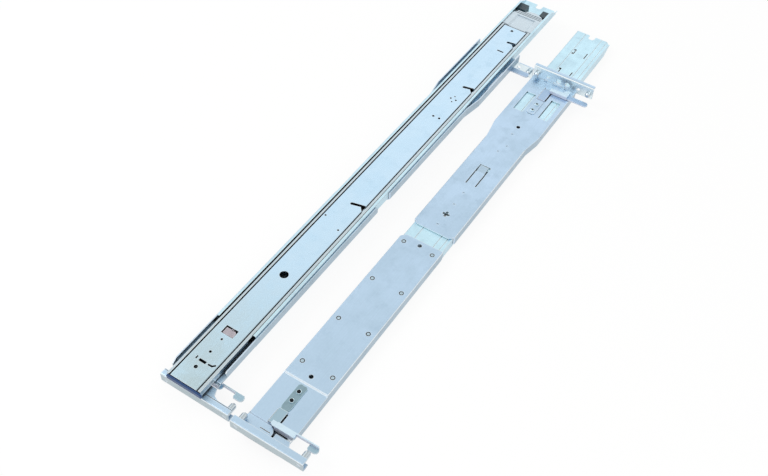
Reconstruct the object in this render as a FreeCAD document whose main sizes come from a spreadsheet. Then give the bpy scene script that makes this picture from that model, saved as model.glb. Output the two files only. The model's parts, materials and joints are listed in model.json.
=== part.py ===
import FreeCAD, Part
import os
import re
import Sketcher

# A pair of sliding server rails lying side by side. Every piece is drawn once in the
# frame of one rail: X runs across the rail (the mounted top is +X), Y runs rearward
# from the front face of the front flange, Z runs outward from the server's side.
# The right_ rail lies with its outer face up; the left_ rail is its mirror image,
# turned over and resting on its two flanges. All sizes are in millimetres.

V = FreeCAD.Vector
doc = FreeCAD.newDocument("ServerRailPair")

# Driving dimensions: name, value, what it sets
SIZES = [
    ("sheet", 1.4, "thickness of the three channels"),
    ("plate", 2.0, "thickness of the folded brackets"),
    ("wall", 1.4, "thickness of the bracket side walls"),
    ("rest_gap", 0.3, "seat clearance between neighbouring pieces"),
    ("slide_gap", 0.15, "flat running clearance of the rear bracket"),
    ("fit_gap", 0.05, "clearance round rivets and pins"),
    ("ball_radius", 1.45, "bearing ball"),
    ("outer_half", 26.0, "outer channel half width"),
    ("outer_face", 12.6, "outer channel outer face"),
    ("lip_reach", 3.2, "reach of the channels' lips"),
    ("outer_lip", "outer_half - lip_reach", "inner edge of the outer channel's lips"),
    ("outer_front", 85.0, "front end of the outer channel"),
    ("outer_rear", 795.5, "rear end of the outer channel"),
    ("track_gap", 2.7, "gap between the outer and middle channels' walls"),
    ("middle_half", "outer_half - sheet - track_gap", "middle channel half width"),
    ("middle_low", 0.8, "inner face of the middle channel's lips"),
    ("web_gap", 1.0, "gap between the outer and middle channels' webs"),
    ("middle_face", "outer_face - sheet - web_gap", "outer face of the middle channel"),
    ("middle_lip", "middle_half - lip_reach", "inner edge of the middle channel's lips"),
    ("middle_front", 0.5, "front end of the middle channel"),
    ("middle_rear", 714.0, "rear end of the middle channel"),
    ("inner_gap", 2.8, "gap between the middle channel's wall and the inner rail"),
    ("inner_half", "middle_half - sheet - inner_gap", "inner rail half width"),
    ("inner_low", 0.4, "inner rail face beside the server"),
    ("inner_top", 7.6, "free edges of the inner rail's walls"),
    ("inner_front", 0.0, "front end of the inner rail"),
    ("inner_rear", 711.0, "rear end of the inner rail"),
    ("outer_ball_level", 6.2, "height of the outer balls"),
    ("inner_ball_level", 5.2, "height of the inner balls"),
    ("cage_sheet", 0.8, "thickness of the ball cages' legs"),
    ("cage_web", 0.4, "thickness of the ball cages' webs"),
    ("outer_cage_front", 270.0, "front end of the outer ball cage"),
    ("outer_cage_long", 262.0, "length of the outer ball cage"),
    ("inner_cage_front", 200.0, "front end of the inner ball cage"),
    ("inner_cage_long", 322.0, "length of the inner ball cage"),
    ("ball_margin", 16.0, "cage end to the first ball"),
    ("ball_count", 4, "balls on each side of a cage"),
    ("bracket_half", "outer_half + wall + rest_gap", "bracket half width over the side walls"),
    ("bracket_face", "outer_face + plate", "outer face of both brackets"),
    ("bracket_low", 3.0, "free edges of the bracket side walls"),
    ("front_end", 316.0, "rear edge of the front bracket"),
    ("joggle_rear", 83.0, "step down of the front bracket"),
    ("joggle_front", 24.0, "step up of the front bracket"),
    ("flange_low", -32.4, "lower edge of both rack flanges"),
    ("flange_high", 55.6, "upper edge of both rack flanges"),
    ("hat_deep", 8.3, "depth of the folded front flange"),
    ("hat_high", 25.7, "outer face of the folded front flange"),
    ("hat_sheet", 1.6, "sheet of the folded front flange"),
    ("wing_corner", 9.0, "corner between the front plate and its wings"),
    ("pin_low", -25.9, "lower rack pin"),
    ("rack_unit", 15.875, "rack hole spacing"),
    ("rack_step", 12.7, "rack hole spacing across a unit line"),
    ("pin_level", 20.2, "height of the front rack pins"),
    ("pin_radius", 3.6, "rack pin"),
    ("hole_level", 21.8, "height of the rear flange holes and pins"),
    ("small_hole", 2.7, "radius of the rear flange's end holes"),
    ("large_hole", 3.7, "radius of the rear flange's middle holes"),
    ("rear_start", 337.7, "front edge of the rear bracket"),
    ("flare_start", 526.0, "start of the rear bracket's widening"),
    ("flare_end", 552.0, "end of the rear bracket's widening"),
    ("flare", 4.3, "widening of the rear bracket on each side"),
    ("rear_half", "bracket_half + flare", "rear bracket half width at the flange"),
    ("rear_flange", 663.5, "front face of the rear flange"),
    ("rear_flange_high", 32.7, "outer edge of the rear flange"),
    ("rear_lip", 6.0, "length of the lip on the rear flange"),
    ("rivet_across", 19.2, "rivet row from the centre line"),
    ("rivet_first", 103.6, "first rivet"),
    ("rivet_pitch", 67.12, "rivet spacing"),
    ("rivet_shank", 1.8, "rivet shank radius"),
    ("rivet_head", 2.6, "rivet head radius"),
    ("rivet_sink", 0.9, "depth of a flush rivet head"),
    ("spring_sheet", 0.8, "thickness of the latch springs"),
    ("spring_half", 5.5, "latch spring half width"),
    ("hook_sheet", 1.4, "thickness of the latch hooks"),
    ("front_hinge", 45.0, "bend line of the front latch"),
    ("rear_hinge", 622.0, "bend line of the rear latch"),
    ("slot_half", 2.0, "half width of the J slots"),
    ("slot_depth", 3.2, "depth of the J slots in the side wall"),
    ("hook_tip", 57.0, "end of the latch fingers"),
    ("hook_rise", 4.8, "height of the latch cross pieces above the brackets"),
    ("stop_gap", 2.5, "middle channel to the rear stop"),
    ("rest_inset", 8.0, "how far the right rail's moving members rest behind the left's"),
    ("right_across", 99.0, "right rail's centre line from the left rail's"),
    ("right_forward", -8.0, "how much nearer the right rail lies"),
    ("right_turn", 0.57, "turn of the right rail on the floor in degrees"),
    ("left_tilt", 0.602, "slope of the left rail resting on its flanges in degrees"),
    ("left_lift", 25.7, "height of the left rail's server side at the front"),
    ("centre_across", 61.677, "box centre from the left rail's centre line"),
    ("centre_along", 393.633, "box centre from the left rail's front face"),
]

sheet = doc.addObject("Spreadsheet::Sheet", "Sizes")
for row, (alias, value, note) in enumerate(SIZES, start=1):
    sheet.set("A%d" % row, alias)
    sheet.set("B%d" % row, "=" + value if isinstance(value, str) else str(value))
    sheet.set("C%d" % row, note)
    sheet.setAlias("B%d" % row, alias)
doc.recompute()


def bind(formula):
    """Write a formula of sheet names as a document expression."""
    return re.sub(r"[a-z][a-z_]*", lambda word: "Sizes." + word.group(0), str(formula))


def size(formula):
    """Value of a formula of sheet names."""
    return float(sheet.evalExpression(bind(formula)))


def new_body(label):
    """Start the body of one piece."""
    body = doc.addObject("PartDesign::Body", "right_" + label)
    body.Label = "right_" + label
    return body


def new_sketch(body, name, role, offset="0"):
    """Sketch on one of the body's planes, moved along the plane's normal."""
    plane = next(f for f in body.Origin.OriginFeatures if f.Role == role)
    sketch = body.newObject("Sketcher::SketchObject", body.Name + "_" + name)
    sketch.AttachmentSupport = [(plane, "")]
    sketch.MapMode = "FlatFace"
    sketch.AttachmentOffset = FreeCAD.Placement(V(0, 0, size(offset)), FreeCAD.Rotation())
    sketch.setExpression(".AttachmentOffset.Base.z", bind(offset))
    return sketch


def place_point(sketch, index, end, across, along):
    """Tie one end of a sketch edge to two formulas."""
    for kind, formula in (("DistanceX", across), ("DistanceY", along)):
        number = sketch.addConstraint(
            Sketcher.Constraint(kind, -1, 1, index, end, size(formula)))
        sketch.setExpression("Constraints[%d]" % number, bind(formula))


def outline(sketch, points):
    """Closed outline through points given as pairs of formulas."""
    first = sketch.GeometryCount
    count = len(points)
    spots = [V(size(a), size(b), 0) for a, b in points]
    for i in range(count):
        sketch.addGeometry(Part.LineSegment(spots[i], spots[(i + 1) % count]), False)
    for i in range(count):
        sketch.addConstraint(
            Sketcher.Constraint("Coincident", first + i, 2, first + (i + 1) % count, 1))
    for i, (across, along) in enumerate(points):
        place_point(sketch, first + i, 1, across, along)


def ring(sketch, across, along, radius):
    """Circle with its centre and radius tied to formulas."""
    centre = V(size(across), size(along), 0)
    index = sketch.addGeometry(Part.Circle(centre, V(0, 0, 1), size(radius)), False)
    place_point(sketch, index, 3, across, along)
    number = sketch.addConstraint(Sketcher.Constraint("Radius", index, size(radius)))
    sketch.setExpression("Constraints[%d]" % number, bind(radius))


def box_points(low, high, front, rear):
    """Corner formulas of a rectangle."""
    return [(low, front), (high, front), (high, rear), (low, rear)]


def pad(body, name, sketch, length, reverse=False, both=False):
    """Pad of a sketch with its length tied to a formula."""
    feature = body.newObject("PartDesign::Pad", body.Name + "_" + name)
    feature.Profile = sketch
    feature.Length = size(length)
    feature.setExpression("Length", bind(length))
    feature.Reversed = reverse
    feature.Midplane = both
    sketch.Visibility = False
    doc.recompute()
    return feature


def pocket(body, name, sketch, length="0", reverse=False, both=False):
    """Pocket of a sketch; length 0 cuts through everything."""
    before = body.Shape.Volume
    feature = body.newObject("PartDesign::Pocket", body.Name + "_" + name)
    feature.Profile = sketch
    if length == "0":
        feature.Type = "ThroughAll"
    else:
        feature.Length = size(length)
        feature.setExpression("Length", bind(length))
    feature.Reversed = reverse
    feature.Midplane = both
    sketch.Visibility = False
    doc.recompute()
    if feature.Shape.isNull() or feature.Shape.Volume > before - 0.01:
        raise RuntimeError("pocket removes nothing: " + feature.Name)
    return feature


def edges_along(feature, axis, spots, near=0.06):
    """Names of the straight edges that run along an axis through given spots."""
    keep = [i for i in range(3) if i != axis]
    names = []
    for number, edge in enumerate(feature.Shape.Edges, start=1):
        if len(edge.Vertexes) != 2:
            continue
        start, end = edge.Vertexes[0].Point, edge.Vertexes[1].Point
        if any(abs(start[i] - end[i]) > near for i in keep):
            continue
        for a, b in spots:
            if abs(start[keep[0]] - size(a)) < near and abs(start[keep[1]] - size(b)) < near:
                names.append("Edge%d" % number)
    return names


def fillet(body, name, axis, spots, radius):
    """Round the edges that run along an axis through given spots."""
    base = body.Tip
    names = edges_along(base, axis, spots)
    if not names:
        raise RuntimeError("no edge to round: " + body.Name + " " + name)
    feature = body.newObject("PartDesign::Fillet", body.Name + "_" + name)
    feature.Base = (base, names)
    feature.Radius = size(radius)
    feature.setExpression("Radius", bind(radius))
    doc.recompute()
    if "Invalid" in feature.State:
        raise RuntimeError("rounding fails: " + feature.Name)
    return feature


def both_sides(spots):
    """The same spots on both sides of the rail."""
    return spots + [("-(%s)" % a, b) for a, b in spots]


def turned(label, profile, spots, turn):
    """Identical turned pieces in one node: a half profile revolved at each spot."""
    sketch = doc.addObject("Sketcher::SketchObject", label + "_profile")
    outline(sketch, profile)
    sketch.Visibility = False
    doc.recompute()
    pieces = []
    for number, spot in enumerate(spots, start=1):
        piece = doc.addObject("Part::Revolution", "%s_%d" % (label, number))
        piece.Source = sketch
        piece.Axis = V(0, 1, 0)
        piece.Angle = 360
        piece.Solid = True
        piece.Placement = FreeCAD.Placement(V(*[size(s) for s in spot]), turn)
        for letter, formula in zip("xyz", spot):
            piece.setExpression("Placement.Base." + letter, bind(formula))
        piece.Visibility = False
        pieces.append(piece)
    return gathered(label, pieces)


def gathered(label, pieces):
    """One node that holds several identical solids."""
    group = doc.addObject("Part::Compound", "right_" + label)
    group.Label = "right_" + label
    group.Links = pieces
    doc.recompute()
    return group


UPRIGHT = FreeCAD.Rotation(V(1, 0, 0), 90)
REARWARD = FreeCAD.Rotation()
FORWARD = FreeCAD.Rotation(V(0, 0, 1), 180)

# Upper rack pin: four full spacings and one short one above the lower pin
PIN_HIGH = "(pin_low + 4 * rack_unit + rack_step)"

# Ball positions shared by the grooves, cages and balls
OUTER_TRACK = "(outer_half - sheet + middle_half) / 2"
INNER_TRACK = "(middle_half - sheet + inner_half) / 2"
GROOVE = "ball_radius + rest_gap"


def groove(body, name, track, level, front, long):
    """Ball track along both sides of a channel."""
    sketch = new_sketch(body, name + "_form", "XZ_Plane", "-(%s)" % front)
    ring(sketch, track, level, GROOVE)
    ring(sketch, "-(%s)" % track, level, GROOVE)
    return pocket(body, name, sketch, long, reverse=False)


def lipped_channel(label, half, low, face, lip, front, rear):
    """C section with lips turned in at its open side."""
    body = new_body(label)
    section = new_sketch(body, "section", "XZ_Plane", "-(%s)" % front)
    inside = "%s - sheet" % half
    outline(section, [
        ("-" + lip, low), ("-" + half, low), ("-" + half, face), (half, face),
        (half, low), (lip, low), (lip, low + " + sheet"), (inside, low + " + sheet"),
        (inside, face + " - sheet"), ("-(%s)" % inside, face + " - sheet"),
        ("-(%s)" % inside, low + " + sheet"), ("-" + lip, low + " + sheet")])
    pad(body, "channel", section, "%s - %s" % (rear, front), reverse=True)
    fillet(body, "bends", 1, both_sides([(half, face)]), "sheet + 0.3")
    fillet(body, "lip_bends", 1, both_sides([(half, low)]), "sheet - 0.2")
    fillet(body, "inside_bends", 1, both_sides([(inside, face + " - sheet")]), "0.5")
    return body


# Outer channel: fixed, lips turned in, ball tracks, lances near its rear end
outer = lipped_channel("outer_channel", "outer_half", "0", "outer_face", "outer_lip",
                       "outer_front", "outer_rear")
groove(outer, "track", OUTER_TRACK, "outer_ball_level", "outer_front",
       "outer_rear - outer_front")
cuts = new_sketch(outer, "cut_plan", "XY_Plane", "outer_face")
for rear_end in ("outer_rear - 42", "outer_rear - 92"):
    outline(cuts, box_points("8.4", "9.8", rear_end + " - 13", rear_end))
    outline(cuts, [("-10.6", rear_end), ("-10.6", rear_end + " - 3"), ("-8.6", rear_end + " - 3"),
                   ("-8.6", rear_end + " - 9"), ("-10.6", rear_end + " - 9"),
                   ("-10.6", rear_end + " - 12"), ("-7.2", rear_end + " - 12"),
                   ("-7.2", rear_end)])
for along in ("92.3", "309.1", "557.4"):
    ring(cuts, "0", along, "2.6")
ring(cuts, "0", "370", "3")
outline(cuts, [("-6", "outer_rear + 1"), ("-6", "outer_rear - 6"), ("-4", "outer_rear - 9"),
               ("1", "outer_rear - 9"), ("3", "outer_rear - 6"), ("3", "outer_rear + 1")])
outline(cuts, [("outer_half + 1", "outer_rear + 1"), ("outer_half + 1", "outer_rear - 7"),
               ("outer_half - 6", "outer_rear + 1")])
pocket(outer, "cuts", cuts, "3")
creases = new_sketch(outer, "crease_plan", "XY_Plane", "outer_face")
for across in ("-12", "13", "21"):
    outline(creases, box_points(across + " - 0.4", across + " + 0.4", "outer_front - 1",
                                "outer_rear + 1"))
pocket(outer, "creases", creases, "0.4")
end_form = new_sketch(outer, "end_form", "YZ_Plane")
outline(end_form, [("outer_rear - 22", "-1"), ("outer_rear + 1", "-1"),
                   ("outer_rear + 1", "outer_face - 3.4"), ("outer_rear - 5", "outer_face - 3.4")])
pocket(outer, "end_trim", end_form, "3 * outer_half", both=True)
rivet_plan = new_sketch(outer, "rivet_plan", "XY_Plane", "outer_face")
for side in ("", "-"):
    for k in range(4):
        ring(rivet_plan, side + "rivet_across", "rivet_first + %d * rivet_pitch" % k,
             "rivet_shank + fit_gap")
pocket(outer, "rivet_holes", rivet_plan, "3")

# Front bracket: one long folded strip, trimmed in plan, with side walls
front = new_body("front_bracket")
fold = new_sketch(front, "fold_path", "YZ_Plane", "(flange_low + flange_high) / 2")
deep = "bracket_face - plate"
S_BEND = (("2", "0"), ("1.1", "0.12"), ("0.35", "0.6"), ("-0.35", "1.4"), ("-1.1", "1.88"),
          ("-2", "2"))
down = [("joggle_rear + %s" % a, "%s * plate / 2" % b) for a, b in S_BEND]
up = [("joggle_front - %s" % a, "%s * plate / 2" % b) for a, b in reversed(S_BEND)]
outline(fold,
        [("front_end", "bracket_face")]
        + [(along, "bracket_face - " + drop) for along, drop in down + up]
        + [("hat_sheet", "bracket_face"), ("hat_sheet", "hat_high - hat_sheet"),
           ("hat_deep", "hat_high - hat_sheet"), ("hat_deep", "hat_high"), ("0", "hat_high"),
           ("0", deep)]
        + [(along, deep + " - " + drop) for along, drop in reversed(down + up)]
        + [("front_end", deep)])
pad(front, "folded_strip", fold, "flange_high - flange_low", both=True)
fillet(front, "hat_bends", 0, [("0", "hat_high"), ("0", deep)], "hat_sheet + 0.4")
trim = new_sketch(front, "trim_plan", "XY_Plane", "bracket_face")
outline(trim, [("flange_low - 1", "hat_deep"), ("flange_low + 5", "hat_deep"),
               ("-bracket_half", "hat_deep + 5"), ("-bracket_half", "front_end - 6"),
               ("6 - bracket_half", "front_end"), ("6 - bracket_half", "front_end + 1"),
               ("flange_low - 1", "front_end + 1")])
outline(trim, [("flange_high + 1", "hat_deep"), ("bracket_half + wing_corner", "hat_deep"),
               ("bracket_half + 0.3 * wing_corner", "hat_deep + 0.3 * wing_corner"),
               ("bracket_half", "hat_deep + wing_corner"), ("bracket_half", "front_end + 1"),
               ("flange_high + 1", "front_end + 1")])
pocket(front, "trim", trim, "2 * plate + 0.2")
side_wall = new_sketch(front, "side_wall_form", "YZ_Plane", "bracket_half - wall")
outline(side_wall, [
    ("36", "bracket_low"), ("front_end - 3", "bracket_low"), ("front_end", "bracket_low + 3"),
    ("front_end", "bracket_face"), ("joggle_rear + 2", "bracket_face"),
    ("joggle_rear - 2", deep), ("34", deep), ("34", "bracket_low + 2")])
pad(front, "upper_wall", side_wall, "wall")
low_wall = new_sketch(front, "low_wall_form", "YZ_Plane", "wall - bracket_half")
outline(low_wall, [
    ("20", "bracket_low"), ("front_end - 8", "bracket_low"), ("front_end - 5.5", "bracket_low + 3"),
    ("front_end - 5.5", "bracket_face"), ("joggle_rear + 2", "bracket_face"),
    ("joggle_rear - 2", deep), ("joggle_front + 2", deep),
    ("joggle_front - 2", "bracket_face"),
    ("hat_deep + 6", "bracket_face"), ("hat_deep + 6", "bracket_low + 4")])
pad(front, "lower_wall", low_wall, "wall", reverse=True)
fillet(front, "wall_bends", 1, both_sides([("bracket_half", "bracket_face")]), "wall + 0.4")
openings = new_sketch(front, "opening_plan", "XY_Plane", "bracket_face")
ring(openings, "0", "92.3", "2.6")
ring(openings, "0", "309.1", "2.6")
outline(openings, box_points("-spring_half - 0.9", "-spring_half", "26", "43"))
outline(openings, box_points("spring_half", "spring_half + 1.4", "32", "43"))
outline(openings, box_points("-7.4", "4.6", "15.4", "16.1"))
outline(openings, [
    ("1.4", "24.4"), ("27.2", "24.4"), ("27.2", "18.6"), ("10", "18.6"), ("10.2", "12.2"),
    ("8.8", "11.4"), ("7.6", "12.2"), ("7.2", "17.6"), ("5", "21"), ("1.2", "23.2")])
for side in ("", "-"):
    for k in range(4):
        ring(openings, side + "rivet_across", "rivet_first + %d * rivet_pitch" % k,
             "rivet_shank + fit_gap")
for spot in ("58.2", "70.8"):
    ring(openings, "0", spot, "rivet_shank + fit_gap")
pocket(front, "openings", openings, "2 * plate + 0.4")
sinks = new_sketch(front, "sink_plan", "XY_Plane", "bracket_face")
for side in ("", "-"):
    for k in range(4):
        ring(sinks, side + "rivet_across", "rivet_first + %d * rivet_pitch" % k,
             "rivet_head + 4 * fit_gap")
pocket(front, "rivet_sinks", sinks, "rivet_sink")
pin_bores = new_sketch(front, "pin_bore_plan", "XZ_Plane", "1")
for across in ("pin_low", PIN_HIGH):
    ring(pin_bores, across, "pin_level", "rivet_head + fit_gap")
pocket(front, "pin_bores", pin_bores, "hat_sheet + 2", reverse=False)
crease = new_sketch(front, "wing_crease_plan", "XY_Plane", deep)
outline(crease, box_points("flange_low - 1", "flange_high + 1", "hat_deep - 1.4", "hat_deep - 0.7"))
pocket(front, "wing_crease", crease, "0.9", reverse=True)

# Flush rivets of the front bracket: countersunk head over a plain shank
turned("front_bracket_rivets",
       [("0", "-rivet_sink"), ("rivet_head", "-rivet_sink"), ("rivet_head", "-0.05"),
        ("rivet_head - 0.3", "0"), ("0", "0"), ("0", "0 - rivet_sink / 2")],
       [(side + "rivet_across", "rivet_first + %d * rivet_pitch" % k, "bracket_face")
        for side in ("", "-") for k in range(4)], UPRIGHT)

# Rack pins: a foot riveted into the front wall, a collar behind it and a domed nose
PIN = [("0", "0.2 - hat_sheet"), ("rivet_head", "0.2 - hat_sheet"), ("rivet_head", "0.1"),
       ("pin_radius", "0.1"), ("pin_radius", "14.2"), ("pin_radius - 1.4", "16"), ("0", "16")]
turned("front_rack_pins", PIN,
       [(across, "hat_sheet", "pin_level") for across in ("pin_low", PIN_HIGH)], REARWARD)

# Front latch spring: leaf on the joggled zone, held by two rivets
deck = "bracket_face - plate"
strip = new_body("front_latch_spring")
strip_plan = new_sketch(strip, "plan", "XY_Plane", deck)
outline(strip_plan, [
    ("1.5 - spring_half", "front_hinge + rest_gap"), ("spring_half - 1.5", "front_hinge + rest_gap"),
    ("spring_half", "front_hinge + 4"), ("spring_half", "78"), ("spring_half - 2", "80"),
    ("2 - spring_half", "80"), ("-spring_half", "78"), ("-spring_half", "front_hinge + 4")])
for spot in ("58.2", "70.8"):
    ring(strip_plan, "0", spot, "rivet_shank + fit_gap")
pad(strip, "leaf", strip_plan, "spring_sheet")

BUTTON = [("0", "-1.6"), ("rivet_shank", "-1.6"), ("rivet_shank", "spring_sheet"),
          ("rivet_head + 0.4", "spring_sheet"), ("rivet_head + 0.4", "spring_sheet + 0.5"),
          ("rivet_head - 0.4", "spring_sheet + 1.1"), ("0", "spring_sheet + 1.2")]
turned("front_latch_rivets", BUTTON, [("0", "58.2", deck), ("0", "70.8", deck)], UPRIGHT)

# Front latch hook: tongue, riser, raised cross piece with a front wall, neck and tab
hook = new_body("front_latch_hook")
low = "bracket_face - plate + rest_gap"
top = "bracket_face + hook_rise"
tongue = new_sketch(hook, "tongue_plan", "XY_Plane", low)
outline(tongue, box_points("-spring_half", "spring_half", "26.4", "front_hinge"))
pad(hook, "tongue", tongue, "hook_sheet")
riser = new_sketch(hook, "riser_plan", "XY_Plane", low)
outline(riser, box_points("0", "spring_half", "26.4", "26.4 + hook_sheet"))
pad(hook, "riser", riser, top + " - (%s)" % low)
cross = new_sketch(hook, "cross_plan", "XY_Plane", top)
outline(cross, [
    ("0", "23.6"), ("2.4", "22"), ("27", "22"), ("28.6", "24"), ("28.6", "28.4"),
    ("spring_half", "28.4"), ("spring_half", "26.4 + hook_sheet"), ("0", "26.4 + hook_sheet")])
pad(hook, "cross", cross, "hook_sheet", reverse=True)
front_wall = new_sketch(hook, "front_wall_plan", "XY_Plane", top)
outline(front_wall, box_points("4.6", "26.6", "22", "22 + hook_sheet"))
pad(hook, "front_wall", front_wall, top + " - 11.4", reverse=True)
neck = new_sketch(hook, "neck_plan", "XY_Plane", top)
outline(neck, box_points("27.2", "hook_tip - 2", "28.4 - hook_sheet", "28.4"))
pad(hook, "neck", neck, "hook_rise - rest_gap", reverse=True)
tab = new_sketch(hook, "tab_plan", "XY_Plane", "bracket_face + rest_gap")
outline(tab, [
    ("hook_tip - 12", "28.4"), ("hook_tip - 12", "22"), ("hook_tip - 10.6", "20.4"),
    ("hook_tip - 3", "20.4"), ("hook_tip - 0.8", "21.8"), ("hook_tip", "24.4"),
    ("hook_tip - 0.8", "27"), ("hook_tip - 2", "28.4")])
pad(hook, "tab", tab, "hook_sheet")

# Rear bracket: plan outline shelled from below, with flange and lip
rear = new_body("rear_bracket")
shell = new_sketch(rear, "shell_plan", "XY_Plane", "bracket_low")
outline(shell, [
    ("-bracket_half", "rear_start + 6"), ("6 - bracket_half", "rear_start"),
    ("bracket_half - 6", "rear_start"), ("bracket_half", "rear_start + 6"),
    ("bracket_half", "flare_start"), ("rear_half", "flare_end"), ("rear_half", "rear_flange + plate"),
    ("-rear_half", "rear_flange + plate"), ("-rear_half", "flare_end"),
    ("-bracket_half", "flare_start")])
pad(rear, "shell", shell, "bracket_face - bracket_low")
fillet(rear, "shell_bends", 1, both_sides([("bracket_half", "bracket_face")]), "wall + 0.4")
inside = new_sketch(rear, "inside_plan", "XY_Plane", "outer_face + slide_gap")
clear = "bracket_half - wall"
wide = "rear_half - wall"
outline(inside, [
    ("-(%s)" % clear, "rear_start - 1"), (clear, "rear_start - 1"), (clear, "flare_start"),
    (wide, "flare_end"), (wide, "rear_flange + plate + 1"),
    ("-(%s)" % wide, "rear_flange + plate + 1"), ("-(%s)" % wide, "flare_end"),
    ("-(%s)" % clear, "flare_start")])
pocket(rear, "inside", inside, "outer_face")
flange = new_sketch(rear, "flange_form", "XZ_Plane", "-rear_flange")
under = "outer_face + slide_gap"
outline(flange, [
    ("flange_low", "bracket_face"), ("-rear_half", under), ("rear_half", under),
    ("rear_half + 2", "bracket_face"), ("flange_high", "bracket_face"),
    ("flange_high", "rear_flange_high"), ("flange_low", "rear_flange_high")])
pad(rear, "flange", flange, "plate", reverse=True)
lip = new_sketch(rear, "lip_form", "YZ_Plane", "(flange_low + flange_high) / 2")
outline(lip, box_points("rear_flange", "rear_flange + rear_lip",
                        "rear_flange_high - plate", "rear_flange_high"))
pad(rear, "lip", lip, "flange_high - flange_low", both=True)
fillet(rear, "lip_bend", 0, [("rear_flange", "rear_flange_high")], "plate + 0.4")
rear_plan = new_sketch(rear, "opening_plan", "XY_Plane", "bracket_face")
outline(rear_plan, [
    ("-1.5", "365.5"), ("1.5", "365.5"), ("1.5", "368.5"), ("4.5", "368.5"), ("4.5", "371.5"),
    ("1.5", "371.5"), ("1.5", "374.5"), ("-1.5", "374.5"), ("-1.5", "371.5"),
    ("-4.5", "371.5"), ("-4.5", "368.5"), ("-1.5", "368.5")])
ring(rear_plan, "0", "557.4", "2.6")
outline(rear_plan, box_points("-23.5", "-9.6", "588", "629"))
outline(rear_plan, box_points("12.6", "25.7", "589", "631"))
outline(rear_plan, box_points("-spring_half - 0.9", "-spring_half", "624", "650"))
outline(rear_plan, box_points("spring_half", "spring_half + 1.4", "624", "645"))
outline(rear_plan, [("-7.5", "430"), ("-6", "430"), ("-6", "455"), ("6", "455"), ("6", "430"),
                    ("7.5", "430"), ("7.5", "469"), ("-7.5", "469")])
for spot in ("597.9", "610.9"):
    ring(rear_plan, "0", spot, "rivet_shank + fit_gap")
pocket(rear, "openings", rear_plan, "plate + 0.4")
dimples = new_sketch(rear, "dimple_plan", "XY_Plane", "bracket_face")
for across, along in (("0", "350.6"), ("0", "389.7"), ("0", "413"), ("4.9", "516.9"),
                      ("0", "502.2"), ("0", "540.9")):
    ring(dimples, across, along, "1.5")
pocket(rear, "dimples", dimples, "0.7")
rack_holes = new_sketch(rear, "rack_hole_plan", "XZ_Plane", "-rear_flange")
ring(rack_holes, "pin_low + rack_unit", "hole_level", "small_hole")
ring(rack_holes, "pin_low + 2 * rack_unit", "hole_level", "large_hole")
ring(rack_holes, "pin_low + 2 * rack_unit + rack_step", "hole_level", "large_hole")
ring(rack_holes, "pin_low + 3 * rack_unit + rack_step", "hole_level", "small_hole")
for across in ("pin_low", PIN_HIGH):
    ring(rack_holes, across, "hole_level", "rivet_head + fit_gap")
outline(rack_holes, box_points("-2", "11", "bracket_face + 0.8", "bracket_face + 3.4"))
outline(rack_holes, box_points("-15", "-10", "bracket_face + 0.8", "bracket_face + 2.6"))
outline(rack_holes, box_points("15", "19", "bracket_face + 0.8", "bracket_face + 2.6"))
pocket(rear, "rack_holes", rack_holes, "plate")
lance = new_sketch(rear, "lance_path", "YZ_Plane")
outline(lance, [
    ("453", "outer_face + slide_gap"), ("456", "outer_face + slide_gap"), ("466", "15"),
    ("466", "16.6"), ("456", "bracket_face"), ("453", "bracket_face")])
pad(rear, "lance", lance, "11", both=True)

REAR_PIN = [("0", "0.2 - plate"), ("rivet_head", "0.2 - plate"), ("rivet_head", "0.1"),
            ("pin_radius", "0.1"), ("pin_radius", "4.6"), ("pin_radius - 1.4", "6.3"), ("0", "6.3")]
turned("rear_rack_pins", REAR_PIN,
       [(across, "rear_flange", "hole_level") for across in ("pin_low", PIN_HIGH)], FORWARD)

# Rear latch: leaf, its rivets and the hook with a cross strip and finger
leaf = new_body("rear_latch_spring")
leaf_plan = new_sketch(leaf, "plan", "XY_Plane", "bracket_face")
outline(leaf_plan, [
    ("2 - spring_half", "590"), ("spring_half - 2", "590"), ("spring_half", "592"),
    ("spring_half", "rear_hinge - rest_gap"), ("-spring_half", "rear_hinge - rest_gap"),
    ("-spring_half", "592")])
for spot in ("597.9", "610.9"):
    ring(leaf_plan, "0", spot, "rivet_shank + fit_gap")
pad(leaf, "leaf", leaf_plan, "spring_sheet")
turned("rear_latch_rivets", BUTTON,
       [("0", "597.9", "bracket_face"), ("0", "610.9", "bracket_face")], UPRIGHT)
catch = new_body("rear_latch_hook")
base = "bracket_face + rest_gap"
catch_tongue = new_sketch(catch, "tongue_plan", "XY_Plane", base)
outline(catch_tongue, box_points("-spring_half", "spring_half", "rear_hinge", "646"))
pad(catch, "tongue", catch_tongue, "hook_sheet")
catch_wall = new_sketch(catch, "front_wall_plan", "XY_Plane", top)
outline(catch_wall, box_points("3", "28.2", "642", "642 + hook_sheet"))
pad(catch, "front_wall", catch_wall, "hook_rise - rest_gap", reverse=True)
catch_top = new_sketch(catch, "cross_plan", "XY_Plane", top)
outline(catch_top, [
    ("3", "642"), ("28.2", "642"), ("28.2", "656"), ("24", "656"), ("20", "649"), ("3", "648")])
pad(catch, "cross", catch_top, "hook_sheet", reverse=True)
catch_side = new_sketch(catch, "side_wall_plan", "XY_Plane", top)
outline(catch_side, box_points("28.2 - hook_sheet", "28.2", "642", "656"))
pad(catch, "side_wall", catch_side, "hook_rise - rest_gap", reverse=True)
catch_tab = new_sketch(catch, "finger_plan", "XY_Plane", base)
outline(catch_tab, [
    ("27", "642.6"), ("hook_tip - 3", "642.6"), ("hook_tip - 0.8", "644"), ("hook_tip", "647"),
    ("hook_tip - 0.8", "650"), ("hook_tip - 3", "651.4"), ("27", "651.4")])
pad(catch, "finger", catch_tab, "hook_sheet")

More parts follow.
